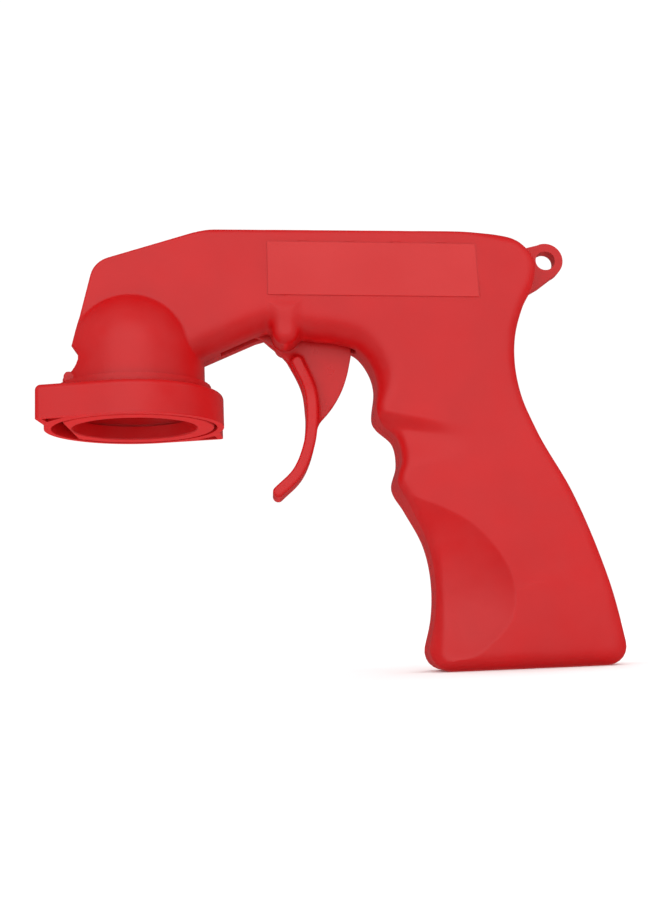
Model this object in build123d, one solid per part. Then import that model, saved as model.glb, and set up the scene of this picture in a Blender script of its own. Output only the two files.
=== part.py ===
from build123d import *

import os

# Spray-can grip: a pistol handle that snaps onto the top of an aerosol can.
# Millimetres. Origin: centre of the mouth, where the can's shoulder enters.
# +Z up along the can, +X back towards the hand, +Y to the user's right.
# The spray leaves towards -X. The two shells meet on the plane Y = 0.

# ---- shells ----
HALF_WIDTH = 14.0           # flat side of a shell, from the parting plane
WALL = 2.0                  # moulded wall thickness
EDGE_TOP = 1.0              # rounding of the top and front edges
EDGE_GRIP = 4.0             # rounding of the edges that the hand holds
EDGE_UNDER = 8.0            # rounding of the barrel's underside and trigger arch
FOOT_RADII = (6.0, 6.5)     # back and front corners of the grip's foot, seen from the side
OUTER_BOX = ((-39.0, -94.0), (165.0, 79.0))
RIB_HEIGHTS = (-30.0, -46.0, -62.0)
RIB_T = 1.4
RIB_EDGE = 6.5              # how near the ribs come to the parting plane
# Egg-shaped hollows: centre (x, z), lean, radii along X, Y and Z, distance of the centre outside the side
SCOOPS = [
    ((97.0, -55.5), 10.0, (24.0, 17.5, 25.5), 13.5),
    ((80.0, -8.5), 12.0, (19.0, 12.5, 9.0), 10.0),
]

# ---- dome over the nozzle, neck and base ----
DOME_R = 23.2
DOME_Z = 23.0               # centre of the spherical top
FLANGE_R = 26.6             # base flange, held inside the collar
FLANGE_Z = (4.7, 6.9)
FLANGE_FRONT = -20.7        # the base flange and the clip ring are cut straight here
LIP_R = 24.8                # lip above the collar
LIP_Z = (11.2, 13.1)
OUTLET = (33.4, 8.7)        # width and height of the spray outlet
OUTLET_Z = 20.95
LUG_PLACE = (-19.0, 13.4)   # small lugs beside the outlet
LUG_R = 1.55
LUG_TOP = 16.6

# ---- clip ring under the base flange, inside the collar ----
CLIP_R = 26.0
CLIP_BORE_R = 20.3
CLIP_H = 4.7
CLIP_GROOVE = (22.2, 24.0, 2.2)  # groove in its upper side: inner and outer radius, floor height
HOOK_REACH = -17.2          # the front hook reaches in to here, under the valve cup's rolled edge
HOOK_HALF = 4.2
HOOK_H = 1.6

# ---- locking collar ----
COLLAR_R = 29.2             # outside of the ring
MOUTH_R = 27.0              # turns round the clip ring
MOUTH_H = 4.4
RELIEF_R = 27.3             # wider above that, clear of the base flange
COLLAR_H = 10.8
COLLAR_EDGE = 1.8
COLLAR_LIP_R = 23.55        # inner lip that turns in the neck groove
COLLAR_LIP_Z = 7.3
EAR_TANGENT = (-5.8, -28.6)  # where an ear's outer wall leaves the ring
EAR_CORNER = (-28.0, -24.4)
EAR_FOOT = (-27.2, -10.5)
EAR_ROUND = 1.8
EAR_POCKET = [(-18.9, -24.2), (-26.0, -22.9), (-25.3, -17.6)]
EAR_POCKET_H = 7.5          # depth of the hollow under each ear
RING_WALL = 1.9             # ring wall left between the mouth and the hollow
STOP_GROOVE_Z = (4.9, 7.1)  # blind groove inside the collar for the twist stop
STOP_GROOVE_ARC = (138.0, 178.0)
STOP_GROOVE_R = 28.3
STOP_ARC = (170.0, 176.0)   # the stop on the base flange, at rest
STOP_Z = (5.3, 6.7)
STOP_R = 28.0

# ---- trigger ----
PIVOT = (50.3, 28.9)
PIN_R = 1.5
PIN_HALF = 11.0
PIN_FIT = 0.05
HUB_R = 4.3
WEB_HALF = 1.6              # the trigger's web, fin and arm
HUB_HALF = 2.1
SLOT_HALF = 2.4             # slot for them in the barrel's underside
SLOT_X = (28.7, 73.8)
BLADE_HALF = 8.0
BLADE_T = 3.7
BLADE_EDGE = 0.9
PAD_HALF = 6.5              # pad that presses the can's nozzle
PAD_X = (-7.0, 8.0)
PAD_Z = (30.4, 32.6)
PAD_ROUND = 3.0
ARM_FLANGE_HALF = 3.5       # flange along the arm's top
SEAT_HALF = 4.2             # the spring's seat on the trigger
TAB_R = 4.3                 # boss round the pivot pin
TAB_EDGE = 3.4

# ---- return spring ----
SPRING_X = 63.5
SPRING_Z = (36.2, 52.0)
SPRING_R = 2.9
SPRING_WIRE = 0.7
SPRING_TURNS = 6
SPIGOT_R = 2.0              # spigot in the roof that keeps the spring in place

# ---- screws ----
SCREWS = [(5.0, 51.0), (33.0, 55.5), (121.0, 44.5), (104.0, -13.0), (136.0, -70.0)]
SCREW_R = 1.3
SCREW_HEAD_R = 2.7
SCREW_HEAD_H = 1.8
SCREW_SEAT = 5.0            # height of the head's seat above the parting plane
SCREW_LENGTH = 14.0
BOSS_R = 4.4

# ---- label ----
LABEL_DEPTH = 0.5
LABEL_T = 0.3
LABEL_GAP = 0.25
LABEL = [(45.0, 59.0), (44.8, 40.6), (114.4, 38.1), (114.1, 56.5)]

# ---- lanyard loop, clamped between the shells at the back corner ----
EYELET = (140.0, 53.8)
EYELET_R = 6.0
EYELET_HOLE_R = 3.3
EYELET_HALF = 2.5
LOOP_WEB = [
    (126.6, 54.4), (131.0, 57.8), (138.5, 59.5), (144.5, 49.8), (137.5, 44.8), (131.5, 41.5), (126.6, 47.2),
]
LOOP_FOOT = ((126.0, -4.5, 47.2), (128.6, 4.5, 54.4))

# Side outlines, as (x, z). Where two outlines run side by side, the inner one shapes the shell.
TOP_AND_FRONT = [(-16.0, 20.0), (-18.25, 25.3), (-11.1, 53.4), (26.5, 64.1), (175.0, 58.9)]
TOP_RADII = {2: 8.0, 3: 14.0}
BACK = [
    (112.0, 62.8), (122.0, 60.7), (129.5, 57.6), (134.0, 51.5), (133.3, 43.5), (129.0, 35.0),
    (126.0, 25.5), (125.3, 16.0), (126.6, 6.0), (131.0, -6.3), (141.0, -26.3), (149.3, -49.5),
    (155.4, -75.0),
]
FOOT = [(156.7, -82.2), (91.4, -82.2)]
GRIP_FRONT = [
    (92.6, -75.5), (95.0, -65.5), (95.8, -57.0), (94.0, -42.0), (88.4, -29.3), (84.7, -21.5),
    (86.5, -14.0), (85.4, -7.0), (80.2, -1.4), (78.4, 3.5), (77.3, 11.5), (70.5, 23.0),
]
UNDERSIDE = [(-5.0, 10.3), (40.3, 29.2)]
ARCH = [
    (44.5, 30.3), (56.0, 30.7), (66.0, 29.6), (73.6, 24.4), (78.1, 17.6), (79.8, 11.5),
    (79.1, 5.0), (77.2, -4.0), (74.8, -14.0), (72.0, -25.0),
]
FRONT_ROOM = [
    (-18.25, 25.3), (-11.1, 53.4), (-4.0, 80.0), (60.0, 80.0), (60.0, 2.0), (-60.0, 2.0), (-60.0, 25.3),
]
BLADE_LINE = [(54.0, 20.6), (57.4, 12.0), (58.2, 2.0), (56.8, -8.0), (52.8, -17.0), (46.4, -23.1)]
# The trigger's web: a hollow curve under the arm, the blade's back, the fin's round corner, then the arm.
WEB_UNDER = [(40.6, 30.4), (45.0, 25.6), (52.6, 18.8)]
WEB_FIN = [(60.6, 0.2), (68.7, 11.0), (72.0, 25.6)]
WEB_ARM = [(70.0, 33.5), (54.0, 34.4), (46.0, 38.5), (4.0, 38.5), (-6.0, 34.0), (-6.0, 32.4), (30.0, 32.4)]


def mitred(points, distance):
    """The corners of a closed outline moved inwards by distance, each side kept parallel."""
    count = len(points)
    area = sum(points[i - 1][0] * points[i][1] - points[i][0] * points[i - 1][1] for i in range(count))
    turn = 1 if area > 0 else -1
    moved = []
    for i, point in enumerate(points):
        here = Vector(*point)
        before = (here - Vector(*points[i - 1])).normalized()
        after = (Vector(*points[(i + 1) % count]) - here).normalized()
        sides = Vector(-before.Y - after.Y, before.X + after.X) * turn
        shift = sides * (distance / (1 + before.dot(after)))
        moved.append((here.X + shift.X, here.Y + shift.Y))
    return moved


def outline(loop, inset=0.0):
    """A face in the XZ plane. A tuple in the loop is a corner; a list is a smooth run of points."""
    flat = [point for part in loop for point in (part if isinstance(part, list) else [part])]
    places = iter(mitred(flat, inset) if inset else flat)
    moved = [[next(places) for _ in part] if isinstance(part, list) else next(places) for part in loop]
    ends = [(part[0], part[-1]) if isinstance(part, list) else (part, part) for part in moved]
    edges = []
    for i, part in enumerate(moved):
        arriving = ends[i - 1][1]
        leaving = ends[(i + 1) % len(moved)][0]
        edges.append(Line(arriving, ends[i][0]).edge())
        if isinstance(part, list):
            tangents = [Vector(*part[0]) - Vector(*arriving), Vector(*leaving) - Vector(*part[-1])]
            edges.append(Spline(*part, tangents=[t.normalized() for t in tangents]).edge())
    return Plane.XZ * make_face(Wire(edges))


def slab(loop, inset, edge, corners=()):
    """Half a shell's thickness of an outline: Y = 0 to the flat side, with its outer edges rounded.
    Edges that lie outside OUTER_BOX are cut away later, so they stay sharp."""
    solid = extrude(outline(loop, inset), amount=HALF_WIDTH - inset)
    for x, z, radius in corners:
        upright = solid.edges().filter_by(Axis.Y).sort_by_distance((x, 0, z))[0]
        solid = fillet(upright, radius - inset)
    if edge - inset < 0.2:
        return solid
    rim = solid.faces().sort_by(Axis.Y)[0].edges()
    return fillet([line for line in rim if near_shell(line.bounding_box())], edge - inset)


def near_shell(box):
    """True for an edge that stays within the region round the shell."""
    (low_x, low_z), (high_x, high_z) = OUTER_BOX
    return box.min.X > low_x and box.max.X < high_x and box.min.Z > low_z and box.max.Z < high_z


def plate(inset):
    """The flat-sided body of the left half, grown inwards by inset."""
    top_corners = [(*TOP_AND_FRONT[i], r) for i, r in TOP_RADII.items()]
    top = slab([*TOP_AND_FRONT, (175.0, -95.0), (40.0, -95.0), (40.0, 20.0)], inset, EDGE_TOP, top_corners)
    grip_corners = [(*point, radius) for point, radius in zip(FOOT, FOOT_RADII)]
    hand_side = [(-40.0, 66.0), BACK, *FOOT, GRIP_FRONT, (55.0, 24.0), (-40.0, -20.0)]
    grip = slab(hand_side, inset, EDGE_GRIP, grip_corners)
    above = [*UNDERSIDE, ARCH, (55.0, -100.0), (180.0, -100.0), (180.0, 80.0), (-45.0, 80.0)]
    under = slab(above, inset, EDGE_UNDER)
    return top & grip & under


def ring(outer, inner, low, high):
    """A flat ring about Z between two heights."""
    tube = Cylinder(outer, high - low) - Cylinder(inner, high - low + 1)
    return Pos(0, 0, (low + high) / 2) * tube


def dome(radius, low):
    """Cylinder from low to the sphere's centre, with the sphere on top."""
    wall = Pos(0, 0, (low + DOME_Z) / 2) * Cylinder(radius, DOME_Z - low)
    return wall + Pos(0, 0, DOME_Z) * Sphere(radius)


def wedge(arc, outer, low, high):
    """A sector about Z between two angles, for cutting or keeping an arc of a ring."""
    sector = Pos(0, 0, low) * extrude(make_face(Wire([
        Line((0, 0), (outer, 0)).edge(),
        CenterArc((0, 0), outer, 0, arc[1] - arc[0]).edge(),
        Line(Vector(outer, 0).rotate(Axis.Z, arc[1] - arc[0]), (0, 0)).edge(),
    ])), amount=high - low)
    return Rot(0, 0, arc[0]) * sector


def block(low, high):
    """A box from its lowest and highest corners."""
    size = [b - a for a, b in zip(low, high)]
    middle = [(a + b) / 2 for a, b in zip(low, high)]
    return Pos(*middle) * Box(*size)


def pin_y(radius, x, z, low, high):
    """A cylinder along Y."""
    return Pos(x, (low + high) / 2, z) * Rot(90, 0, 0) * Cylinder(radius, high - low)


def scoops(grow):
    """Cutters for the palm and finger hollows in the grip's left side, grown by the wall or by 0."""
    cutters = []
    for (x, z), lean, (long, deep, tall), clear in SCOOPS:
        egg = scale(Sphere(1), (long, deep + grow, tall))
        cutters.append(Pos(x, -HALF_WIDTH - clear, z) * Rot(0, lean, 0) * egg)
    return cutters


def label_outline(gap):
    """The label recess, or the label itself with a gap all round."""
    face = Plane.XZ * make_face(Polyline(*LABEL, close=True))
    if gap:
        face = offset(face, amount=-gap, kind=Kind.INTERSECTION)
    return face


def lanyard_loop():
    """Loop for a lanyard, on a web that passes between the shells to a foot inside them."""
    disc = pin_y(EYELET_R, *EYELET, -EYELET_HALF, EYELET_HALF)
    web = extrude(Plane.XZ * make_face(Polyline(*LOOP_WEB, close=True)), amount=EYELET_HALF, both=True)
    loop = disc + web - pin_y(EYELET_HOLE_R, *EYELET, -EYELET_HALF - 1, EYELET_HALF + 1)
    return loop + block(*LOOP_FOOT)


def half_shell():
    """The left half without its screw posts, outside made first and then hollowed."""
    left = block((-60, -60, -120), (220, 0, 120))
    ahead = extrude(outline(FRONT_ROOM), amount=30)
    body = plate(0)
    body += (dome(DOME_R, FLANGE_Z[1]) & left) & ahead
    body += ring(LIP_R, DOME_R - 1, *LIP_Z) & left
    flange = ring(FLANGE_R, DOME_R - WALL, *FLANGE_Z)
    flange -= block((-40, -40, 0), (FLANGE_FRONT, 40, 10))
    body += flange & left
    for cutter in scoops(0):
        body -= cutter

    hollow = plate(WALL)
    for cutter in scoops(WALL):
        hollow -= cutter
    hollow += (dome(DOME_R - WALL, FLANGE_Z[1]) & left) & extrude(outline(FRONT_ROOM, WALL), amount=30)
    hollow += (Pos(0, 0, FLANGE_Z[0]) * Cylinder(DOME_R - WALL, 20)) & left
    body -= hollow

    outlet = extrude(Plane.YZ * RectangleRounded(*OUTLET, 2.6), amount=22)
    body -= Pos(-30, 0, OUTLET_Z) * outlet
    lug_x, lug_y = LUG_PLACE
    lug_z = LUG_TOP - LUG_R
    lug = block((lug_x - LUG_R, -lug_y - 2, LIP_Z[1] - 0.5), (lug_x + LUG_R, -lug_y + 2, lug_z))
    body += lug + pin_y(LUG_R, lug_x, lug_z, -lug_y - 2, -lug_y + 2)
    return body, hollow


def band(middle, thickness):
    """A curved strip about a line of points, with round ends."""
    front = []
    back = []
    for i, point in enumerate(middle):
        before = Vector(*middle[max(i - 1, 0)])
        after = Vector(*middle[min(i + 1, len(middle) - 1)])
        along = (after - before).normalized()
        side = Vector(along.Y, -along.X) * (thickness / 2)
        front.append(Vector(*point) + side)
        back.append(Vector(*point) - side)
    top = Vector(*middle[0]) + (Vector(*middle[0]) - Vector(*middle[1])).normalized() * (thickness / 2)
    tip = Vector(*middle[-1]) + (Vector(*middle[-1]) - Vector(*middle[-2])).normalized() * (thickness / 2)
    return make_face(Wire([
        Spline(*front).edge(),
        ThreePointArc(front[-1], tip, back[-1]).edge(),
        Spline(*reversed(back)).edge(),
        ThreePointArc(back[0], top, front[0]).edge(),
    ]))


def pivot_boss():
    """The rounded tab that carries one end of the pivot pin."""
    x, z = PIVOT
    post = pin_y(TAB_R, x, z, -HALF_WIDTH, -SLOT_HALF)
    post += block((x - TAB_R, -HALF_WIDTH, z), (x + TAB_R, -SLOT_HALF, z + 8))
    outer = post.faces().sort_by(Axis.Y)[0].edges().filter_by(GeomType.CIRCLE)
    post = fillet(outer, TAB_EDGE)
    return post


def shells():
    """Left and right shells. The screws go in from the right and bite into the left posts."""
    body, hollow = half_shell()
    body += pivot_boss()
    for low in RIB_HEIGHTS:
        body += block((80, -HALF_WIDTH, low), (160, -RIB_EDGE, low + RIB_T)) & hollow
    perch = block((SPRING_X - 4, -4, SPRING_Z[1] + 0.05), (SPRING_X + 4, 0, 65)) & hollow
    spigot = Pos(SPRING_X, 0, SPRING_Z[1] - 1) * Cylinder(SPIGOT_R, 3)
    body += perch + (spigot & block((0, -10, 0), (100, 0, 100)))
    body -= pin_y(PIN_R + 0.01, *PIVOT, -PIN_HALF - 0.3, 1)
    body -= block((SLOT_X[0], -SLOT_HALF, 12), (SLOT_X[1], 1, 36))
    body -= extrude(Plane.XZ * make_face(Polyline(*LOOP_WEB, close=True)), amount=EYELET_HALF)
    body -= extrude(Pos(0, -HALF_WIDTH + LABEL_DEPTH, 0) * label_outline(0), amount=5)
    right = mirror(body, about=Plane.XZ)
    for x, z in SCREWS:
        post = pin_y(BOSS_R, x, z, -HALF_WIDTH, 0) & hollow
        body += post
        body -= pin_y(SCREW_R + 0.02, x, z, SCREW_SEAT - SCREW_LENGTH - 0.6, 1)
        right += mirror(post, about=Plane.XZ)
        right -= pin_y(SCREW_R + 0.3, x, z, -1, HALF_WIDTH + 1)
        right -= pin_y(SCREW_HEAD_R + 0.3, x, z, SCREW_SEAT, HALF_WIDTH + 1)
    neck = Cylinder(DOME_R - WALL, 4 * DOME_R)
    right += wedge(STOP_ARC, STOP_R, *STOP_Z) - neck
    right += wedge(STOP_ARC, FLANGE_R, FLANGE_Z[0], FLANGE_Z[1] + 0.1) - neck
    return body, right


def clip_ring():
    """Ring that goes round the can's shoulder, with a hook at the front."""
    inner, outer, floor = CLIP_GROOVE
    body = ring(CLIP_R, CLIP_BORE_R, 0, CLIP_H) - ring(outer, inner, floor, CLIP_H + 1)
    body -= block((-40, -40, -1), (FLANGE_FRONT, 40, CLIP_H + 1))
    edges = body.edges().filter_by(GeomType.CIRCLE)
    body = fillet([edge for edge in edges if edge.center().Z < 0.01], 0.5)
    hook = block((FLANGE_FRONT, -HOOK_HALF, CLIP_H), (HOOK_REACH, HOOK_HALF, CLIP_H + HOOK_H))
    return body + fillet(hook.edges().filter_by(Axis.Z).sort_by(Axis.X)[-2:], 1.2)


def collar():
    """The twist collar: a ring with two hollow ears, an inner lip, and a groove for the stop."""
    ear = make_face(Polyline(EAR_TANGENT, EAR_CORNER, EAR_FOOT, (-10.0, -10.0), close=True))
    ear = fillet(ear.vertices().sort_by_distance((*EAR_CORNER, 0))[0], EAR_ROUND)
    plan = Circle(COLLAR_R) + ear + Rot(0, 0, 180) * ear
    body = extrude(plan, amount=COLLAR_H)
    body = fillet(body.faces().sort_by(Axis.Z)[-1].edges(), COLLAR_EDGE)
    body -= Pos(0, 0, COLLAR_LIP_Z / 2) * Cylinder(MOUTH_R, COLLAR_LIP_Z)
    body -= Pos(0, 0, (MOUTH_H + COLLAR_LIP_Z) / 2) * Cylinder(RELIEF_R, COLLAR_LIP_Z - MOUTH_H)
    body -= Pos(0, 0, COLLAR_H / 2) * Cylinder(COLLAR_LIP_R, COLLAR_H + 2)
    pocket = extrude(make_face(Polyline(*EAR_POCKET, close=True)), amount=EAR_POCKET_H)
    pocket -= Cylinder(MOUTH_R + RING_WALL, 2 * COLLAR_H)
    body -= pocket
    body -= Rot(0, 0, 180) * pocket
    body -= wedge(STOP_GROOVE_ARC, STOP_GROOVE_R, *STOP_GROOVE_Z) - Cylinder(MOUTH_R - 1, 2 * COLLAR_H)
    return body


def trigger():
    """One moulding: blade, web and fin, hub, and the arm with the nozzle pad."""
    x, z = PIVOT
    blade = extrude(Plane.XZ * band(BLADE_LINE, BLADE_T), amount=BLADE_HALF, both=True)
    blade = fillet(blade.faces().filter_by(Axis.Y).edges(), BLADE_EDGE)
    web_face = Plane.XZ * make_face(Wire([
        Spline(*WEB_UNDER).edge(),
        *Polyline(WEB_UNDER[-1], (58.0, 2.0), WEB_FIN[0]).edges(),
        ThreePointArc(*WEB_FIN).edge(),
        *Polyline(WEB_FIN[-1], *WEB_ARM, WEB_UNDER[0]).edges(),
    ]))
    web = extrude(web_face, amount=WEB_HALF, both=True)
    pad = block((PAD_X[0], -PAD_HALF, PAD_Z[0]), (PAD_X[1], PAD_HALF, PAD_Z[1]))
    pad = fillet(pad.edges().filter_by(Axis.Z), PAD_ROUND)
    flange = block((6.0, -ARM_FLANGE_HALF, 38.0), (45.0, ARM_FLANGE_HALF, 39.6))
    seat = block(
        (SPRING_X - SEAT_HALF, -SEAT_HALF, SPRING_Z[0] - 3.2),
        (SPRING_X + SEAT_HALF, SEAT_HALF, SPRING_Z[0] - 0.4),
    )
    body = blade + web + pin_y(HUB_R, x, z, -HUB_HALF, HUB_HALF) + pad + flange + seat
    body -= pin_y(PIN_R + PIN_FIT, x, z, -5, 5)
    return body


def pivot_pin():
    """Plain steel pin, fixed in the shells, that the trigger turns on."""
    pin = pin_y(PIN_R, *PIVOT, -PIN_HALF, PIN_HALF)
    return chamfer(pin.edges().filter_by(GeomType.CIRCLE), 0.3)


def return_spring():
    """Compression spring between the roof of the shells and the back of the trigger."""
    low, high = SPRING_Z
    height = high - low - SPRING_WIRE
    path = Helix(height / SPRING_TURNS, height, SPRING_R)
    section = Plane(origin=path @ 0, z_dir=path % 0) * Circle(SPRING_WIRE / 2)
    coil = sweep(section, path=path)
    return Pos(SPRING_X, 0, low + SPRING_WIRE / 2) * coil


def screw(x, z):
    """Self-tapping screw with a cross-slotted pan head, driven in from the right."""
    head = pin_y(SCREW_HEAD_R, x, z, SCREW_SEAT, SCREW_SEAT + SCREW_HEAD_H)
    head = fillet(head.edges().filter_by(GeomType.CIRCLE).sort_by(Axis.Y)[-1], 0.9)
    top = SCREW_SEAT + SCREW_HEAD_H
    cross = block((x - 1.5, top - 1.0, z - 0.3), (x + 1.5, top + 1, z + 0.3))
    cross += block((x - 0.3, top - 1.0, z - 1.5), (x + 0.3, top + 1, z + 1.5))
    shank = pin_y(SCREW_R, x, z, SCREW_SEAT - SCREW_LENGTH, SCREW_SEAT)
    shank = chamfer(shank.edges().filter_by(GeomType.CIRCLE).sort_by(Axis.Y)[0], 0.9)
    return head - cross + shank


def label():
    """Blank gloss film, laid in the recess of the left shell."""
    floor = Pos(0, -HALF_WIDTH + LABEL_DEPTH, 0) * label_outline(LABEL_GAP)
    return extrude(floor, amount=LABEL_T)


def main():
    left, right = shells()
    pieces = {
        "left_shell": left,
        "right_shell": right,
        "clip_ring": clip_ring(),
        "locking_collar": collar(),
        "trigger": trigger(),
        "trigger_pin": pivot_pin(),
        "return_spring": return_spring(),
        "lanyard_loop": lanyard_loop(),
        "label_left": label(),
        "label_right": mirror(label(), about=Plane.XZ),
    }
    for number, (x, z) in enumerate(SCREWS, 1):
        pieces[f"shell_screw_{number}"] = screw(x, z)
    os.makedirs("parts", exist_ok=True)
    for name, shape in pieces.items():
        export_step(shape, f"parts/{name}.step")


main()
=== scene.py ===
import math

import bpy
import numpy as np
from mathutils import Matrix, Vector


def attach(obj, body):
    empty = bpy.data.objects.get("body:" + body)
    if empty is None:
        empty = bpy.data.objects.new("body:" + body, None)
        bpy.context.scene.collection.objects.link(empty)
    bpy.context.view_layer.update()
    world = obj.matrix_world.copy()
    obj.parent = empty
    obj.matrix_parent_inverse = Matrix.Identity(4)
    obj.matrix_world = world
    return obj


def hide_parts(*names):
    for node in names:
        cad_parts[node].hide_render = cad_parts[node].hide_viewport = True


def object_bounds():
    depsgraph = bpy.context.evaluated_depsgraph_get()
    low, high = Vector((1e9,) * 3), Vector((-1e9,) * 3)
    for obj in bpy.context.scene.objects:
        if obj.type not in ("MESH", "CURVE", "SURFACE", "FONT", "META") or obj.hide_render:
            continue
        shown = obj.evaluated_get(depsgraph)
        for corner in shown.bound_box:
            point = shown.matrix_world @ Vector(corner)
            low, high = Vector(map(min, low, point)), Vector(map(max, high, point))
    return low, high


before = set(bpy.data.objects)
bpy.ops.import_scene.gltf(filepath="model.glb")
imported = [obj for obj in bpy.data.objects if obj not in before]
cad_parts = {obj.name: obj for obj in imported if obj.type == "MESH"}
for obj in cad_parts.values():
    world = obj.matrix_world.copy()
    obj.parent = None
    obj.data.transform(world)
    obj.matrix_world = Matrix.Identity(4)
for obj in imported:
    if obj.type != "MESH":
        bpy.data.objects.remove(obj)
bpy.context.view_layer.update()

# Spray-can grip in moulded red plastic. Shapes are worked out in millimetres as distance fields,
# negative inside the plastic, and become meshes in metres. w is the distance from the parting plane Y = 0.

MM = 0.001
FINE = 1.0

# ---- shells: driving dimensions, mm ----
HALF_WIDTH = 14.0
WALL = 2.0
SEAM = 0.03                 # half the hairline gap between the two shells
DOME_R = 23.2
DOME_Z = 23.0
NECK_LOW = 4.7
FLANGE_R = 26.6
FLANGE_Z = (4.7, 6.9)
FLANGE_FRONT = -20.7        # the flange is cut straight here
LIP_R = 25.2
LIP_Z = (11.2, 13.6)
OUTLET_HALF = (16.7, 4.35)
OUTLET_Z = 20.95
OUTLET_ROUND = 4.3
OUTLET_BACK = -8.0          # X where the outlet ends inside the dome
LUG = (-19.0, 13.4, 15.05)
LUG_R = 1.55
LUG_HALF = 2.0
PIVOT = (50.3, 28.9)
PIN_R = 1.5
PIN_HALF = 11.0
LEFT_TAB_R = 4.3
RIGHT_TAB_R = 3.6           # smaller, so that it stays behind the left one
TAB_EDGE = 3.2
TAB_TOP = 38.0
TAB_BLEND = 3.0
SLOT_HALF = 2.4
SLOT_X = (28.7, 73.8)
SLOT_Z = (12.0, 36.0)
SPRING_X = 63.5
SPRING_TOP = 52.0
PERCH_HALF = 4.0            # the spring's upper seat
SCREWS = [(5.0, 51.0), (33.0, 55.5), (121.0, 44.5), (104.0, -13.0), (136.0, -70.0)]
SCREW_R = 1.3
SCREW_HEAD_R = 2.7
SCREW_SEAT = 5.0
SCREW_DEPTH = 9.6
POST_R = 4.4
POST_GAP = 1.0              # how far a post stays inside the shell's side
SCREW_ROOM = 0.3            # clearance round a screw in the right shell
STOP_ARC = (170.0, 176.0)
STOP_R = 28.0
STOP_Z = (5.3, 6.7)
LABEL_DEPTH = 0.5
LABEL_GAP = 0.3             # shadow line round the film
LABEL = [(45.0, 59.0), (44.8, 40.6), (114.4, 38.1), (114.1, 56.5)]
LOOP_WEB = [
    (126.6, 54.4), (131.0, 57.8), (138.5, 59.5), (144.5, 49.8), (137.5, 44.8), (131.5, 41.5), (126.6, 47.2),
]
LOOP_HALF = 2.5

# Side outlines as (x, z), or (x, z, radius) at a rounded corner. A list is a smooth run of points.
TOP_AND_FRONT = [
    (-16.0, 20.0), (-18.25, 25.3), (-11.1, 53.4, 8.0), (26.5, 64.1, 14.0), (175.0, 58.9), (175.0, -95.0),
    (40.0, -95.0), (40.0, 20.0),
]
BACK = [
    (112.0, 62.8), (122.0, 60.7), (129.5, 57.6), (134.0, 51.5), (133.3, 43.5), (129.0, 35.0),
    (126.0, 25.5), (125.3, 16.0), (126.6, 6.0), (131.0, -6.3), (141.0, -26.3), (149.3, -49.5),
    (155.4, -75.0),
]
GRIP_FRONT = [
    (92.6, -75.5), (95.0, -65.5), (95.8, -57.0), (94.0, -42.0), (88.4, -29.3), (84.7, -21.5),
    (86.5, -14.0), (85.4, -7.0), (80.2, -1.4), (78.4, 3.5), (77.3, 11.5), (70.5, 23.0),
]
HAND_SIDE = [
    (-40.0, 66.0), BACK, (156.7, -82.2, 6.0), (91.4, -82.2, 6.5), GRIP_FRONT, (55.0, 24.0), (-40.0, -20.0),
]
ARCH = [
    (44.5, 30.3), (52.0, 28.6), (60.0, 27.2), (68.0, 26.0), (73.6, 24.0), (77.9, 18.4), (79.8, 11.5),
    (79.1, 5.0), (77.2, -4.0), (74.8, -14.0), (72.0, -25.0),
]
ABOVE = [
    (-45.0, -6.4), (40.3, 29.2), ARCH, (55.0, -100.0), (180.0, -100.0), (180.0, 80.0), (-60.0, 80.0),
]
FRONT_ROOM = [
    (-18.25, 25.3), (-11.1, 53.4), (-4.0, 80.0), (60.0, 80.0), (60.0, 2.0), (-60.0, 2.0), (-60.0, 25.3),
]
# Edge of the palm hollow on the grip's flat side, from the second ridge round to the foot.
PALM_EDGE = [
    (84.0, -24.5), (90.0, -27.2), (98.0, -30.5), (107.0, -35.8), (115.0, -44.5), (119.8, -56.0),
    (118.2, -66.5), (112.0, -73.5), (103.0, -78.5),
]
PALM_BEYOND = [(60.0, -84.0), (60.0, -20.0)]
# Rounding of a side's edge: its size, how much it grows, and the stretch over which it does.
TOP_EDGE = (1.0, 4.5, 104, 128)
HAND_EDGE = (4.0, 2.2, 55, 78)
UNDER_EDGE = (4.2, 4.3, 0, 16)
PALM_DEPTH = 5.0
PALM_REACH = 21.0           # how far in from its edge the hollow reaches its depth
DENT_DEPTH = 3.4
DENT_X = (80.0, 110.0)      # the finger dent fades out between these
DENT_TOP = 1.6              # height of the dent's upper edge at its front
DENT_LEAN = -0.2
DENT_FALL = 5.0             # height over which the dent reaches its depth
DENT_REACH = (21.0, 11.0)   # height of the whole dent at its front, and how much less at its back
SHELL_GRID = ((-30.0, -1.1, -83.6), (158.4, 28.6, 65.0), 0.55)
SHELL_KEEP = 0.34           # share of the mesher's faces that stay

# ---- trigger ----
BLADE_LINE = [(54.0, 20.6), (57.4, 12.0), (58.2, 2.0), (56.8, -8.0), (52.8, -17.0), (46.4, -23.1)]
BLADE_HALF = 8.0
BLADE_TOP_HALF = 4.5        # the blade narrows towards the web at its top
BLADE_SPREAD = (4.0, 21.0)  # heights between which it narrows
BLADE_T = 3.7
BLADE_EDGE = 0.9
WEB_HALF = 1.6
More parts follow.
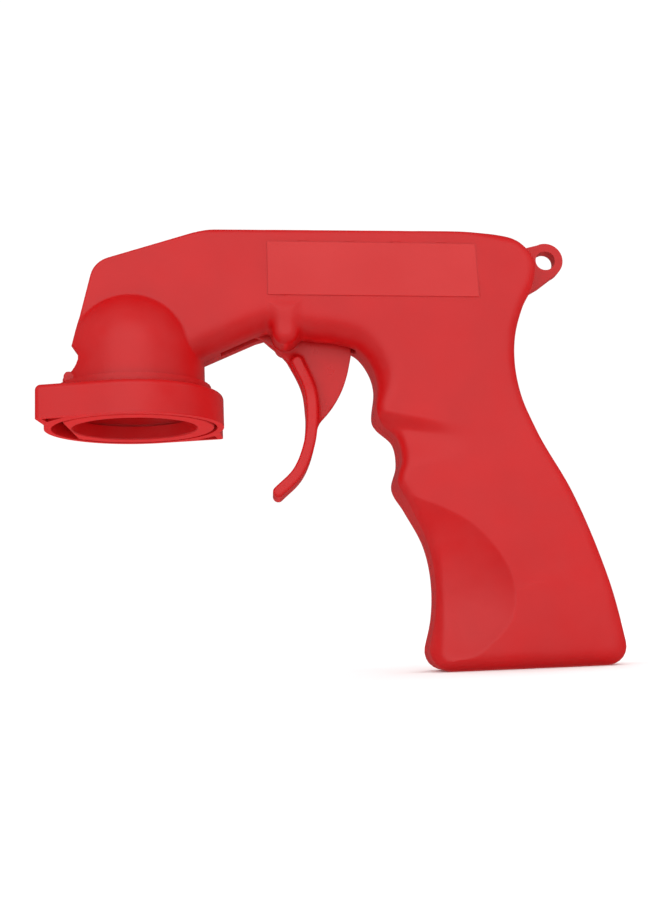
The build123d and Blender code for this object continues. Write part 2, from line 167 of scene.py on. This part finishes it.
# The web's side outline: its hollow front runs on into the blade's, then the fin's curve and the arm.
WEB_FRONT = [(40.6, 30.0), (45.6, 26.3), (50.0, 22.0), (53.4, 16.6), (55.8, 10.6), (57.0, 2.0)]
WEB_FIN = [(57.9, -2.0), (60.6, 0.2), (65.4, 5.5), (69.0, 11.7), (71.2, 18.5), (72.0, 25.6)]
WEB_ARM = [(70.0, 33.5), (54.0, 34.4), (46.0, 38.5), (4.0, 38.5), (-6.0, 34.0), (-6.0, 32.4), (30.0, 32.4)]
HUB_R = 4.3
HUB_HALF = 2.1
PAD = (0.5, 7.5, 6.5, 31.5, 1.1)       # middle in X, half length, half width, middle in Z, half height
ARM_FLANGE = (25.5, 19.5, 3.5, 38.8, 0.8)
SPRING_SEAT = (63.5, 4.2, 4.2, 34.4, 1.4)
TRIGGER_GRID = ((-8.5, -8.97, -26.5), (75.0, 8.9, 41.0), 0.45)


# ---------- outlines ----------

def smooth_run(points, arriving, leaving, step=0.8):
    """Points along a cubic curve through the given ones, with end directions set by the neighbours."""
    p = np.array([arriving, *points, leaving], float)
    chord = np.linalg.norm(np.diff(p, axis=0), axis=1)
    run = []
    for i in range(1, len(p) - 2):
        length = chord[i]
        slope_a = (p[i] - p[i - 1]) / chord[i - 1]
        slope_m = (p[i + 1] - p[i]) / length
        slope_b = (p[i + 2] - p[i + 1]) / chord[i + 1]
        last = i == len(p) - 3
        start, end = slope_a, slope_b
        if i > 1:
            start = (slope_a * length + slope_m * chord[i - 1]) / (length + chord[i - 1])
        if not last:
            end = (slope_m * chord[i + 1] + slope_b * length) / (length + chord[i + 1])
        t = np.linspace(0, 1, max(3, round(length / step)), endpoint=last)[:, None]
        run.append(
            (2 * t**3 - 3 * t**2 + 1) * p[i] + (t**3 - 2 * t**2 + t) * length * start
            + (3 * t**2 - 2 * t**3) * p[i + 1] + (t**3 - t**2) * length * end
        )
    return np.vstack(run)


def rounded_corner(before, corner, after, radius, count=7):
    """Points of the arc that rounds a corner."""
    corner = np.array(corner[:2], float)
    a = np.array(before[:2], float) - corner
    b = np.array(after[:2], float) - corner
    a /= np.linalg.norm(a)
    b /= np.linalg.norm(b)
    half = math.acos(np.clip(a @ b, -1, 1)) / 2
    bisector = (a + b) / np.linalg.norm(a + b)
    centre = corner + bisector * radius / math.sin(half)
    start = corner + a * radius / math.tan(half) - centre
    end = corner + b * radius / math.tan(half) - centre
    turn = math.pi - 2 * half
    t = np.linspace(0, 1, count)[:, None]
    return centre + (np.sin((1 - t) * turn) * start + np.sin(t * turn) * end) / math.sin(turn)


def trace(loop):
    """The closed polyline of an outline."""
    ends = [(part[0], part[-1]) if isinstance(part, list) else (part, part) for part in loop]
    pieces = []
    for i, part in enumerate(loop):
        arriving = ends[i - 1][1][:2]
        leaving = ends[(i + 1) % len(loop)][0][:2]
        if isinstance(part, list):
            pieces.append(smooth_run(part, arriving, leaving))
        elif len(part) == 3:
            pieces.append(rounded_corner(arriving, part, leaving, part[2]))
        else:
            pieces.append(np.array([part], float))
    return np.vstack(pieces)


def there_and_back(points):
    """A smooth open line as a closed polyline without area, so that only its distance matters."""
    p = np.array(points, float)
    line = smooth_run(points, 2 * p[0] - p[1], 2 * p[-1] - p[-2])
    return np.vstack([line, line[-2:0:-1]])


def side_of(polyline, x, z):
    """Signed distance from a closed polyline, negative inside."""
    nearest = np.full(np.broadcast(x, z).shape, 1e9)
    inside = np.zeros(nearest.shape, bool)
    for (ax, az), (bx, bz) in zip(polyline, np.roll(polyline, -1, axis=0)):
        ex, ez = bx - ax, bz - az
        span = ex * ex + ez * ez
        if span < 1e-12:
            continue
        t = np.clip(((x - ax) * ex + (z - az) * ez) / span, 0, 1)
        nearest = np.minimum(nearest, (x - ax - t * ex) ** 2 + (z - az - t * ez) ** 2)
        if az != bz:
            crosses = ((az > z) != (bz > z)) & (x < ax + (z - az) * ex / ez)
            inside ^= crosses
    return np.where(inside, -1.0, 1.0) * np.sqrt(nearest)


class Plan:
    """Signed distances from side outlines, held on a fine grid and read between its points."""

    def __init__(self, outlines, low, high, pitch=0.25):
        self.low = np.array(low, float)
        self.pitch = pitch
        self.count = np.ceil((np.array(high) - self.low) / pitch).astype(int) + 1
        x = self.low[0] + pitch * np.arange(self.count[0])[:, None]
        z = self.low[1] + pitch * np.arange(self.count[1])[None, :]
        self.fields = {name: side_of(line, x, z).astype(np.float32) for name, line in outlines.items()}

    def at(self, name, x, z):
        field = self.fields[name]
        u = np.clip((x - self.low[0]) / self.pitch, 0, self.count[0] - 1.001)
        v = np.clip((z - self.low[1]) / self.pitch, 0, self.count[1] - 1.001)
        i, j = u.astype(int), v.astype(int)
        u, v = u - i, v - j
        low = field[i, j] * (1 - v) + field[i, j + 1] * v
        high = field[i + 1, j] * (1 - v) + field[i + 1, j + 1] * v
        return low * (1 - u) + high * u


# ---------- distance fields ----------

def join(a, b, blend=0.0):
    """Union of two fields, with a fillet of about blend between them."""
    if not blend:
        return np.minimum(a, b)
    near = np.maximum(blend - np.abs(a - b), 0) / blend
    return np.minimum(a, b) - near * near * blend / 4


def meet(a, b, blend=0.0):
    """What two fields share, with an edge rounded by about blend."""
    return -join(-a, -b, blend)


def cut(a, b, blend=0.0):
    """The first field less the second."""
    return meet(a, -b, blend)


def ramp(value, low, high):
    """0 below low, 1 above high, smooth between."""
    t = np.clip((value - low) / (high - low), 0, 1)
    return t * t * (3 - 2 * t)


def slab(side, w, half, edge):
    """An outline of the given half thickness, its outer edges rounded."""
    a = side + edge
    b = w - half + edge
    return np.minimum(np.maximum(a, b), 0) + np.hypot(np.maximum(a, 0), np.maximum(b, 0)) - edge


def between(value, low, high):
    return np.abs(value - (low + high) / 2) - (high - low) / 2


def box_2d(a, b, half_a, half_b, rounding=0.0):
    """Rounded rectangle about the origin."""
    p = np.abs(a) - half_a + rounding
    q = np.abs(b) - half_b + rounding
    return np.minimum(np.maximum(p, q), 0) + np.hypot(np.maximum(p, 0), np.maximum(q, 0)) - rounding


def ring_band(radius, z, outer, inner, low, high, edge):
    """A ring about Z, its edges rounded."""
    across, along = radius - (outer + inner) / 2, z - (low + high) / 2
    return box_2d(across, along, (outer - inner) / 2, (high - low) / 2, edge)


# ---------- mesher ----------

def gradient(field, points, reach=0.02):
    parts = []
    for axis in range(3):
        shift = np.zeros(3)
        shift[axis] = reach
        parts.append(field(*(points + shift).T) - field(*(points - shift).T))
    slope = np.stack(parts, axis=1)
    return slope / np.maximum(np.linalg.norm(slope, axis=1, keepdims=True), 1e-9)


def mesh_field(field, low, high, pitch):
    """Dual contouring: quads on the zero surface of a field, sharp where the field is."""
    pitch *= FINE
    axes = [np.arange(a, b + pitch, pitch) for a, b in zip(low, high)]
    shape = [len(a) for a in axes]
    value = field(axes[0][:, None, None], axes[1][None, :, None], axes[2][None, None, :])
    value = np.ascontiguousarray(np.broadcast_to(value, shape), dtype=np.float64)
    inside = value < 0
    cells = [n - 1 for n in shape]
    strides = np.array([cells[1] * cells[2], cells[2], 1])
    quads, rows = [], []
    for axis in range(3):
        first = [slice(None)] * 3
        second = [slice(None)] * 3
        first[axis], second[axis] = slice(None, -1), slice(1, None)
        change = inside[tuple(first)] != inside[tuple(second)]
        at = np.argwhere(change)
        others = [k for k in range(3) if k != axis]
        keep = np.all((at[:, others] > 0) & (at[:, others] < np.array(shape)[others] - 1), axis=1)
        at = at[keep]
        beyond = at.copy()
        beyond[:, axis] += 1
        v0, v1 = value[tuple(at.T)], value[tuple(beyond.T)]
        point = np.stack([axes[k][at[:, k]] for k in range(3)], axis=1)
        point[:, axis] += pitch * v0 / (v0 - v1)
        corners = []
        for da, db in ((0, 0), (-1, 0), (-1, -1), (0, -1)):
            cell = at.copy()
            cell[:, others[0]] += da
            cell[:, others[1]] += db
            corners.append(cell @ strides)
        quad = np.stack(corners, axis=1)
        flip = (v0 < 0) == (axis == 1)
        quad[flip] = quad[flip][:, ::-1]
        quads.append(quad)
        rows.append(point)
    quads = np.vstack(quads)
    used, compact = np.unique(quads, return_inverse=True)
    compact = compact.reshape(quads.shape)
    points = np.vstack(rows)
    normals = gradient(field, points)
    owner = compact.ravel()
    point4 = np.repeat(points, 4, axis=0)
    normal4 = np.repeat(normals, 4, axis=0)
    n = len(used)
    count = np.bincount(owner, minlength=n)
    mean = np.stack([np.bincount(owner, point4[:, k], n) / count for k in range(3)], axis=1)
    reach = np.einsum("ij,ij->i", normal4, point4 - mean[owner])
    system = np.zeros((n, 3, 3))
    target = np.zeros((n, 3))
    for a in range(3):
        target[:, a] = np.bincount(owner, normal4[:, a] * reach, n)
        for b in range(3):
            system[:, a, b] = np.bincount(owner, normal4[:, a] * normal4[:, b], n)
    steady = 0.05
    step = np.linalg.solve(system + steady * np.eye(3), target[..., None])[..., 0]
    place = mean + step
    cell = np.stack(np.unravel_index(used, cells), axis=1)
    corner = np.array([a[0] for a in axes]) + cell * pitch
    slack = 0.1 * pitch
    place = np.clip(place, corner - slack, corner + pitch + slack)
    return place, compact


def make_piece(name, place, quads, mirrored=False, keep=1.0, crease=35.0):
    """A smooth-shaded object in metres from a mesher's result, which has w in place of Y."""
    place = place * MM
    if not mirrored:
        place = place * np.array([1, -1, 1])
        quads = quads[:, ::-1]
    mesh = bpy.data.meshes.new(name)
    mesh.vertices.add(len(place))
    mesh.vertices.foreach_set("co", place.astype(np.float32).ravel())
    mesh.loops.add(quads.size)
    mesh.loops.foreach_set("vertex_index", quads.astype(np.int32).ravel())
    mesh.polygons.add(len(quads))
    mesh.polygons.foreach_set("loop_start", np.arange(0, quads.size, 4, dtype=np.int32))
    mesh.update(calc_edges=True)
    mesh.validate()
    piece = bpy.data.objects.new(name, mesh)
    bpy.context.scene.collection.objects.link(piece)
    if keep < 1:
        thin = piece.modifiers.new("thin", "DECIMATE")
        thin.ratio = keep
        thinned = bpy.data.meshes.new_from_object(piece.evaluated_get(bpy.context.evaluated_depsgraph_get()))
        piece.modifiers.clear()
        piece.data = thinned
        thinned.name = name
    piece.data.shade_smooth()
    piece.data.set_sharp_from_angle(angle=math.radians(crease))
    return piece


# ---------- the two shells ----------

PLAN = Plan(
    {
        "top": trace(TOP_AND_FRONT), "hand": trace(HAND_SIDE), "above": trace(ABOVE),
        "front": trace(FRONT_ROOM), "label": trace(LABEL), "web": trace(LOOP_WEB),
        "palm": trace([PALM_EDGE, *PALM_BEYOND]),
    },
    (-32.0, -88.0), (160.0, 68.0),
)


def hollow_depth(x, z):
    """How far the grip's side is pressed in by the palm hollow and the finger dent."""
    inward = -PLAN.at("palm", x, z)
    t = np.clip(inward / PALM_REACH, 0, 1)
    palm = PALM_DEPTH * (1 - (1 - t) ** 2)
    along = np.clip((x - DENT_X[0]) / (DENT_X[1] - DENT_X[0]), 0, 1)
    under = DENT_TOP + DENT_LEAN * (x - DENT_X[0]) - z
    fade = 1 - ramp(along, 0.0, 1.0)
    fall = ramp(under, 0.0, DENT_FALL)
    rise = 1 - ramp(under, DENT_FALL, DENT_REACH[0] - DENT_REACH[1] * along)
    dent = DENT_DEPTH * fade * fall * rise
    return palm + dent


def growing(edge, value):
    """A rounding that grows along a stretch."""
    size, growth, low, high = edge
    return size + growth * ramp(value, low, high)


def plate(x, w, z):
    """The flat-sided body of a half, with each side's own edge rounding."""
    half = HALF_WIDTH - hollow_depth(x, z)
    top = slab(PLAN.at("top", x, z), w, half, growing(TOP_EDGE, x))
    hand = slab(PLAN.at("hand", x, z), w, half, growing(HAND_EDGE, -z))
    above = slab(PLAN.at("above", x, z), w, half, growing(UNDER_EDGE, z))
    return meet(meet(top, hand, 0.8), above, 1.2)


def dome(x, w, z, radius):
    """Upright cylinder with a sphere on top."""
    return np.sqrt(x**2 + w**2 + np.maximum(z - DOME_Z, 0) ** 2) - radius


def shell_body(x, w, z):
    """The outside and inside of a half shell, before its holes."""
    radius = np.hypot(x, w)
    front = PLAN.at("front", x, z)
    flat = plate(x, w, z)
    cap = meet(meet(dome(x, w, z, DOME_R), front, 0.5), NECK_LOW - z, 0.4)
    body = join(flat, cap, 0.6)
    body = join(body, ring_band(radius, z, LIP_R, DOME_R - 1, *LIP_Z, 0.0))
    flange = ring_band(radius, z, FLANGE_R, DOME_R - WALL + 0.5, *FLANGE_Z, 0.0)
    body = join(body, meet(flange, FLANGE_FRONT - x))
    lug = np.hypot(x - LUG[0], np.maximum(z - LUG[2], 0)) - LUG_R
    lug = meet(meet(lug, np.abs(w - LUG[1]) - LUG_HALF, 0.5), LIP_Z[1] - 0.5 - z)
    body = join(body, lug, 0.4)
    core = meet(dome(x, w, z, DOME_R - WALL), front + WALL)
    hollow = join(flat + WALL, core, 0.8)
    return body, hollow


def pin_hole(x, z, place, radius):
    return np.hypot(x - place[0], z - place[1]) - radius


def shell(x, w, z, right):
    """One half: the right one has the screw wells and the twist stop."""
    body, hollow = shell_body(x, w, z)
    made = cut(body, hollow, 0.4)
    for place in SCREWS:
        post = np.maximum(meet(pin_hole(x, z, place, POST_R), w - HALF_WIDTH + POST_GAP), hollow - 0.5)
        made = join(made, post, 0.5)
    perch = np.maximum(np.abs(x - SPRING_X) - PERCH_HALF, w - PERCH_HALF)
    made = join(made, np.maximum(perch, np.maximum(SPRING_TOP - z, hollow - 0.5)))
    tab = np.hypot(x - PIVOT[0], np.minimum(z - PIVOT[1], 0)) - (RIGHT_TAB_R if right else LEFT_TAB_R)
    tab = meet(slab(np.maximum(tab, z - TAB_TOP), w, HALF_WIDTH, TAB_EDGE), SLOT_HALF - w)
    made = join(made, tab, TAB_BLEND)
    made = cut(made, np.maximum(pin_hole(x, z, PIVOT, PIN_R), w - PIN_HALF - 0.3))
    slot = np.maximum(np.maximum(between(x, *SLOT_X), between(z, *SLOT_Z)), w - SLOT_HALF)
    made = cut(made, slot, 0.3)
    outlet = np.maximum(box_2d(w, z - OUTLET_Z, *OUTLET_HALF, OUTLET_ROUND), x - OUTLET_BACK)
    made = cut(made, outlet, 0.4)
    made = cut(made, np.maximum(PLAN.at("web", x, z), w - LOOP_HALF))
    recess = np.maximum(PLAN.at("label", x, z) - LABEL_GAP, HALF_WIDTH - LABEL_DEPTH - w)
    made = cut(made, recess)
    if right:
        radius = np.hypot(x, w)
        angle = np.degrees(np.arctan2(w, x))
        off = (np.abs(angle - sum(STOP_ARC) / 2) - (STOP_ARC[1] - STOP_ARC[0]) / 2) * radius * math.pi / 180
        flange = ring_band(radius, z, FLANGE_R, DOME_R - WALL, *FLANGE_Z, 0.3)
        stop = ring_band(radius, z, STOP_R, DOME_R - WALL, *STOP_Z, 0.2)
        made = join(made, np.maximum(np.minimum(stop, flange), off))
        for place in SCREWS:
            made = cut(made, pin_hole(x, z, place, SCREW_R + SCREW_ROOM))
            head = pin_hole(x, z, place, SCREW_HEAD_R + SCREW_ROOM)
            made = cut(made, np.maximum(head, SCREW_SEAT - w), 0.3)
    else:
        for place in SCREWS:
            made = cut(made, np.maximum(pin_hole(x, z, place, SCREW_R), w - SCREW_DEPTH))
    return meet(made, SEAM - w, 0.35)


def make_shell(name, right):
    place, quads = mesh_field(lambda x, w, z: shell(x, w, z, right), *SHELL_GRID)
    return make_piece(name, place, quads, mirrored=right, keep=SHELL_KEEP)


# ---------- trigger ----------

TRIGGER_PLAN = Plan(
    {
        "web": trace([WEB_FRONT, WEB_FIN, *WEB_ARM]),
        "blade": there_and_back(BLADE_LINE),
    },
    (-9.0, -27.0), (76.0, 42.0),
)


def bar(x, w, z, place, rounding):
    """A rounded block: its middle and half sizes in X and Z, and its half width."""
    mid_x, half_x, half_w, mid_z, half_z = place
    return meet(box_2d(x - mid_x, w, half_x, half_w, 3.0), np.abs(z - mid_z) - half_z, rounding)


def trigger(x, y, z):
    """One moulding: blade, web and fin, hub, and the arm with the nozzle pad."""
    w = np.abs(y)
    web = slab(TRIGGER_PLAN.at("web", x, z), w, WEB_HALF, 0.35)
    half = BLADE_HALF + (BLADE_TOP_HALF - BLADE_HALF) * ramp(z, *BLADE_SPREAD)
    blade = slab(np.abs(TRIGGER_PLAN.at("blade", x, z)) - BLADE_T / 2, w, half, BLADE_EDGE)
    made = join(web, blade, 2.0)
    made = join(made, slab(pin_hole(x, z, PIVOT, HUB_R), w, HUB_HALF, 0.3), 0.4)
    for place in (PAD, ARM_FLANGE, SPRING_SEAT):
        made = join(made, bar(x, w, z, place, 0.4), 0.5)
    return cut(made, pin_hole(x, z, PIVOT, PIN_R + 0.05))


# ---------- materials ----------

def new_material(name):
    material = bpy.data.materials.new(name)
    material.use_nodes = True
    nodes = material.node_tree.nodes
    return material, nodes, material.node_tree.links, nodes["Principled BSDF"]


def noise(nodes, links, source, scale, detail, roughness=0.5):
    texture = nodes.new("ShaderNodeTexNoise")
    texture.inputs["Scale"].default_value = scale
    texture.inputs["Detail"].default_value = detail
    texture.inputs["Roughness"].default_value = roughness
    links.new(source, texture.inputs["Vector"])
    return texture.outputs["Fac"]


def remap(nodes, links, value, low, high, to_low, to_high):
    node = nodes.new("ShaderNodeMapRange")
    node.inputs["From Min"].default_value = low
    node.inputs["From Max"].default_value = high
    node.inputs["To Min"].default_value = to_low
    node.inputs["To Max"].default_value = to_high
    links.new(value, node.inputs["Value"])
    return node.outputs["Result"]


def moulded_plastic(name, colour, gloss=0.34, texture=0.22):
    """Satin polypropylene: fine spark-eroded texture, faint flow clouding and rubbed patches."""
    material, nodes, links, shader = new_material(name)
    where = nodes.new("ShaderNodeTexCoord").outputs["Object"]
    clouds = noise(nodes, links, where, 45.0, 3.0)
    grain = noise(nodes, links, where, 2600.0, 2.0, 0.6)
    rubbed = noise(nodes, links, where, 120.0, 4.0)
    mix = nodes.new("ShaderNodeMix")
    mix.data_type = "RGBA"
    mix.inputs["A"].default_value = (*[c * 0.93 for c in colour], 1)
    mix.inputs["B"].default_value = (*colour, 1)
    links.new(remap(nodes, links, clouds, 0.35, 0.65, 0.0, 1.0), mix.inputs["Factor"])
    links.new(mix.outputs["Result"], shader.inputs["Base Color"])
    links.new(remap(nodes, links, rubbed, 0.3, 0.7, gloss - 0.05, gloss + 0.07), shader.inputs["Roughness"])
    bump = nodes.new("ShaderNodeBump")
    bump.inputs["Strength"].default_value = texture
    bump.inputs["Distance"].default_value = 0.00006
    links.new(grain, bump.inputs["Height"])
    links.new(bump.outputs["Normal"], shader.inputs["Normal"])
    shader.inputs["IOR"].default_value = 1.49
    return material


def label_film(name):
    """Clear gloss film over the red: smooth, with a faint slow ripple, and a painted sheen in its lighter,
    pinker base colour.
    """
    material, nodes, links, shader = new_material(name)
    where = nodes.new("ShaderNodeTexCoord").outputs["Object"]
    ripple = noise(nodes, links, where, 60.0, 2.0)
    clouds = noise(nodes, links, where, 30.0, 2.0)
    mix = nodes.new("ShaderNodeMix")
    mix.data_type = "RGBA"
    # Painted sheen: both reds are lighter and pinker than the shell's red, standing in for the film's gloss;
    # the slow cloud only mixes between them.
    mix.inputs["A"].default_value = (0.47, 0.015, 0.015, 1)
    mix.inputs["B"].default_value = (0.50, 0.018, 0.018, 1)
    links.new(remap(nodes, links, clouds, 0.35, 0.65, 0.0, 1.0), mix.inputs["Factor"])
    links.new(mix.outputs["Result"], shader.inputs["Base Color"])
    links.new(remap(nodes, links, ripple, 0.3, 0.7, 0.16, 0.22), shader.inputs["Roughness"])
    bump = nodes.new("ShaderNodeBump")
    bump.inputs["Strength"].default_value = 0.35
    bump.inputs["Distance"].default_value = 0.0004
    links.new(ripple, bump.inputs["Height"])
    links.new(bump.outputs["Normal"], shader.inputs["Normal"])
    return material


def steel(name, tint, rough):
    """Zinc-plated or bright steel with fine drawn lines."""
    material, nodes, links, shader = new_material(name)
    where = nodes.new("ShaderNodeTexCoord").outputs["Object"]
    lines = noise(nodes, links, where, 900.0, 4.0)
    shader.inputs["Metallic"].default_value = 1.0
    shader.inputs["Base Color"].default_value = (*tint, 1)
    links.new(remap(nodes, links, lines, 0.3, 0.7, rough - 0.06, rough + 0.1), shader.inputs["Roughness"])
    bump = nodes.new("ShaderNodeBump")
    bump.inputs["Strength"].default_value = 0.2
    bump.inputs["Distance"].default_value = 0.00003
    links.new(lines, bump.inputs["Height"])
    links.new(bump.outputs["Normal"], shader.inputs["Normal"])
    return material


RED = (0.49, 0.003, 0.004)
SHELL_RED = moulded_plastic("shell_plastic", RED)
TRIGGER_RED = moulded_plastic("trigger_plastic", (0.50, 0.004, 0.005), 0.30, 0.10)
FILM = label_film("label_film")
PIN_STEEL = steel("pin_steel", (0.62, 0.61, 0.60), 0.25)
SPRING_STEEL = steel("spring_steel", (0.50, 0.50, 0.52), 0.32)
SCREW_STEEL = steel("screw_steel", (0.58, 0.56, 0.50), 0.35)


def paint(piece, material):
    piece.data.materials.clear()
    piece.data.materials.append(material)


# ---------- pieces ----------

for name, right in (("left_shell_skin", False), ("right_shell_skin", True)):
    skin = make_shell(name, right)
    paint(skin, SHELL_RED)
    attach(skin, "body")
    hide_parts(name.removesuffix("_skin"))

place, quads = mesh_field(trigger, *TRIGGER_GRID)
lever = make_piece("trigger_moulding", place, quads)
paint(lever, TRIGGER_RED)
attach(lever, "trigger")
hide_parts("trigger")

for node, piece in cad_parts.items():
    if node.startswith("label"):
        paint(piece, FILM)
    elif node.startswith("shell_screw"):
        paint(piece, SCREW_STEEL)
    elif node == "trigger":
        paint(piece, TRIGGER_RED)
    elif node == "trigger_pin":
        paint(piece, PIN_STEEL)
    elif node == "return_spring":
        paint(piece, SPRING_STEEL)
    else:
        paint(piece, SHELL_RED)


# ---------- floor, light and camera ----------

FLOOR_REACH = 3.0           # metres


def make_floor():
    """A wide pale disc under the object's lowest point."""
    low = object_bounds()[0].z
    around = np.linspace(0, 2 * math.pi, 96, endpoint=False)
    rim = [(FLOOR_REACH * math.cos(a), FLOOR_REACH * math.sin(a), low - 0.0001) for a in around]
    mesh = bpy.data.meshes.new("floor")
    mesh.from_pydata(rim, [], [list(range(len(rim)))])
    floor = bpy.data.objects.new("floor", mesh)
    bpy.context.scene.collection.objects.link(floor)
    material, nodes, links, shader = new_material("floor")
    shader.inputs["Base Color"].default_value = (0.92, 0.92, 0.92, 1)
    shader.inputs["Roughness"].default_value = 1.0
    shader.inputs["Specular IOR Level"].default_value = 0.0
    paint(floor, material)
    floor.visible_glossy = False
    floor.visible_shadow = False


def soft_sun(name, toward, strength, spread):
    """Light from a wide patch of sky, seen by matt surfaces only, as from a screen off to that side."""
    light = bpy.data.lights.new(name, "SUN")
    light.energy = strength
    light.angle = math.radians(spread)
    lamp = bpy.data.objects.new(name, light)
    bpy.context.scene.collection.objects.link(lamp)
    lamp.rotation_euler = Vector(toward).to_track_quat("-Z", "Y").to_euler()
    lamp.visible_glossy = False


SCREEN_AT = (-0.10, -0.93, 0.36)     # direction of the large soft screen beside the camera
SCREEN_EDGE = (0.72, 0.96)  # cosine from its middle where its light begins and where it is full
SCREEN_GLOW = 0.78
BACK_EDGE = (0.45, 0.85)    # Y of a direction where the dimmer screen behind begins and is full
BACK_GLOW = 0.06
ROOM_GLOW = 0.04            # the dark studio all round


# Each soft sun's name, the direction its light goes, its strength, and its spread in degrees.
SUNS = [
    ("above", (0, 0.1, -1), 2.7, 160),
    ("below", (0, 0.1, 1), 3.4, 160),
    ("front", (0, 1, 0), 0.6, 120),
    ("rear", (0, -1, 0), 1.3, 120),
    ("left", (1, 0.1, -0.1), 0.8, 120),
    ("right", (-1, 0.1, -0.1), 1.2, 120),
]


def smooth_step(nodes, links, value, edge, low, high):
    """A node that goes smoothly from low to high as a value crosses an edge."""
    node = nodes.new("ShaderNodeMapRange")
    node.interpolation_type = "SMOOTHSTEP"
    node.inputs["From Min"].default_value, node.inputs["From Max"].default_value = edge
    node.inputs["To Min"].default_value = low
    node.inputs["To Max"].default_value = high
    links.new(value, node.inputs["Value"])
    return node.outputs["Result"]


def make_light():
    """A large soft screen above the camera in a dark room, and a white backdrop for the camera."""
    world = bpy.data.worlds.new("studio")
    bpy.context.scene.world = world
    world.use_nodes = True
    nodes, links = world.node_tree.nodes, world.node_tree.links
    studio = nodes["Background"]
    studio.inputs["Color"].default_value = (1, 1, 1, 1)
    toward = nodes.new("ShaderNodeVectorMath")
    toward.operation = "DOT_PRODUCT"
    toward.inputs[1].default_value = Vector(SCREEN_AT).normalized()
    direction = nodes.new("ShaderNodeTexCoord").outputs["Generated"]
    links.new(direction, toward.inputs[0])
    screen = smooth_step(nodes, links, toward.outputs["Value"], SCREEN_EDGE, ROOM_GLOW, SCREEN_GLOW)
    apart = nodes.new("ShaderNodeSeparateXYZ")
    links.new(direction, apart.inputs["Vector"])
    behind = smooth_step(nodes, links, apart.outputs["Y"], BACK_EDGE, 0.0, BACK_GLOW)
    both = nodes.new("ShaderNodeMath")
    links.new(screen, both.inputs[0])
    links.new(behind, both.inputs[1])
    links.new(both.outputs["Value"], studio.inputs["Strength"])
    backdrop = nodes.new("ShaderNodeBackground")
    backdrop.inputs["Color"].default_value = (1, 1, 1, 1)
    backdrop.inputs["Strength"].default_value = 1.05
    mix = nodes.new("ShaderNodeMixShader")
    links.new(nodes.new("ShaderNodeLightPath").outputs["Is Camera Ray"], mix.inputs["Fac"])
    links.new(studio.outputs["Background"], mix.inputs[1])
    links.new(backdrop.outputs["Background"], mix.inputs[2])
    links.new(mix.outputs["Shader"], nodes["World Output"].inputs["Surface"])
    for name, toward, strength, spread in SUNS:
        soft_sun(name, toward, strength, spread)
    bpy.context.scene.view_settings.view_transform = "Standard"


CAMERA_AIM = (0.0631, -0.0140, -0.0111)
CAMERA_DISTANCE = 0.3591
CAMERA_AZIMUTH = -3.35      # degrees, seen from a little in front
CAMERA_ELEVATION = -8.94    # degrees, seen from a little below
CAMERA_ROLL = -2.34
CAMERA_LENS = 45.08


def make_camera():
    camera = bpy.data.cameras.new("camera")
    camera.lens = CAMERA_LENS
    camera.sensor_width = 36
    camera.clip_start = 0.01
    holder = bpy.data.objects.new("camera", camera)
    bpy.context.scene.collection.objects.link(holder)
    azimuth, elevation = math.radians(CAMERA_AZIMUTH), math.radians(CAMERA_ELEVATION)
    back = Vector((
        math.sin(azimuth) * math.cos(elevation),
        -math.cos(azimuth) * math.cos(elevation),
        math.sin(elevation),
    ))
    holder.location = Vector(CAMERA_AIM) + back * CAMERA_DISTANCE
    turn = (-back).to_track_quat("-Z", "Y").to_matrix() @ Matrix.Rotation(math.radians(CAMERA_ROLL), 3, "Z")
    holder.rotation_euler = turn.to_euler()
    bpy.context.scene.camera = holder


make_floor()
make_light()
make_camera()
